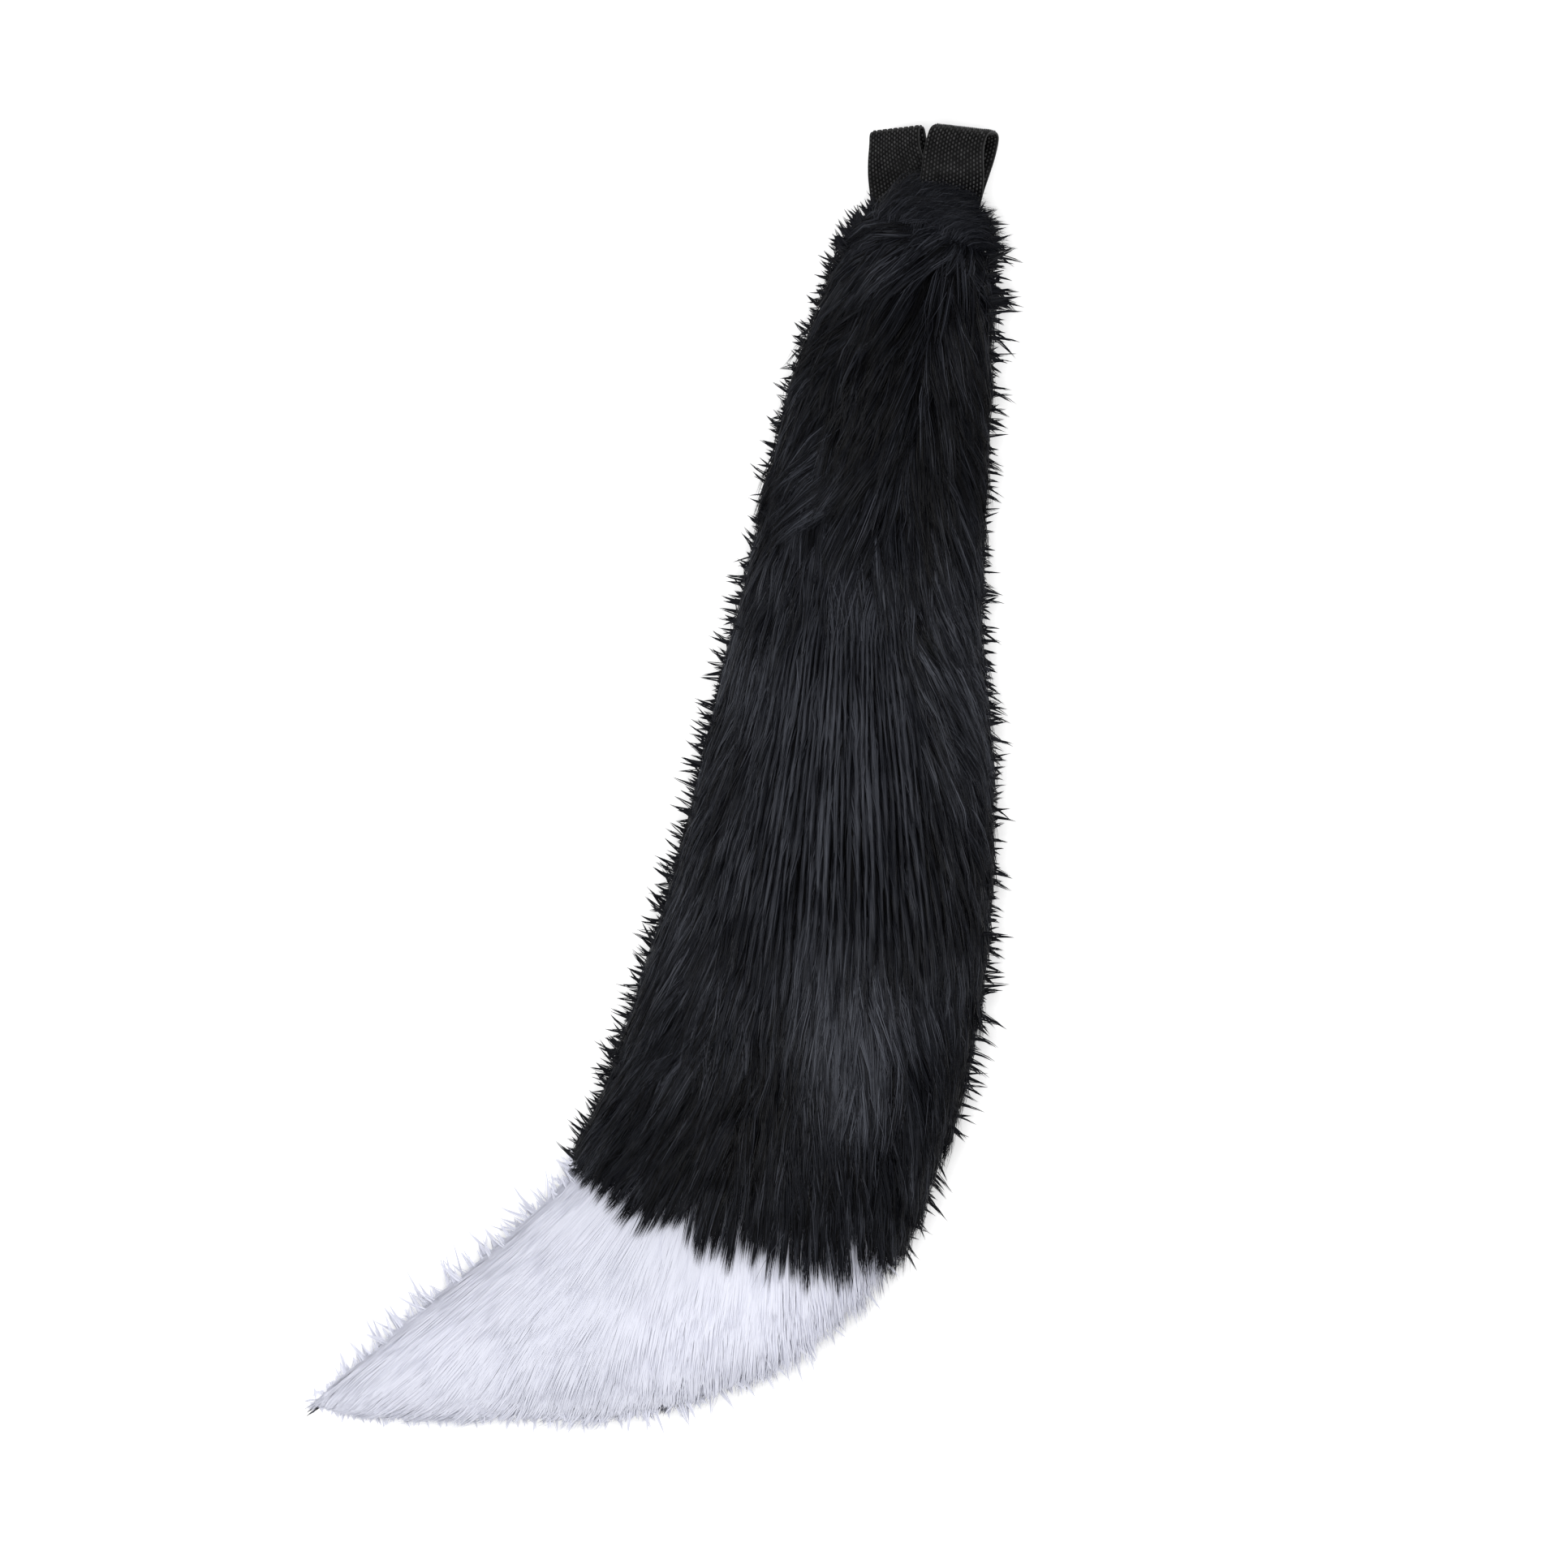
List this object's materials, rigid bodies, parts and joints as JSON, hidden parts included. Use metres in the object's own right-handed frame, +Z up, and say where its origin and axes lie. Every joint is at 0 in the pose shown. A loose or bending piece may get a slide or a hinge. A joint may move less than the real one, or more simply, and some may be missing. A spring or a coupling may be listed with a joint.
{
  "type": "costume animal tail",
  "caption": "Long-pile faux-fur costume tail, stuffed and curved, black with a white tip, with webbing loops at the neck for a belt.",
  "frame": {"origin": "bottom centre of the part's box: the tail lies on a flat surface at Z = 0", "axes": "+X to the right in the picture, +Y along the tail from the tip towards the belt loops, +Z up from the surface, out of the side the picture shows"},
  "size_m": [0.275, 0.5262, 0.0828],
  "materials": {
    "black_fur": "long-pile faux fur with a soft sheen",
    "white_fur": "long-pile faux fur, cool white",
    "filling": "polyester fibre filling, hidden",
    "webbing": "black ribbed nylon webbing"
  },
  "bodies": {
    "root": {"black_fur_sleeve": "black_fur", "white_fur_tip": "white_fur", "stuffing": "filling", "belt_loop_left": "webbing", "belt_loop_right": "webbing"}
  },
  "joints": []
}
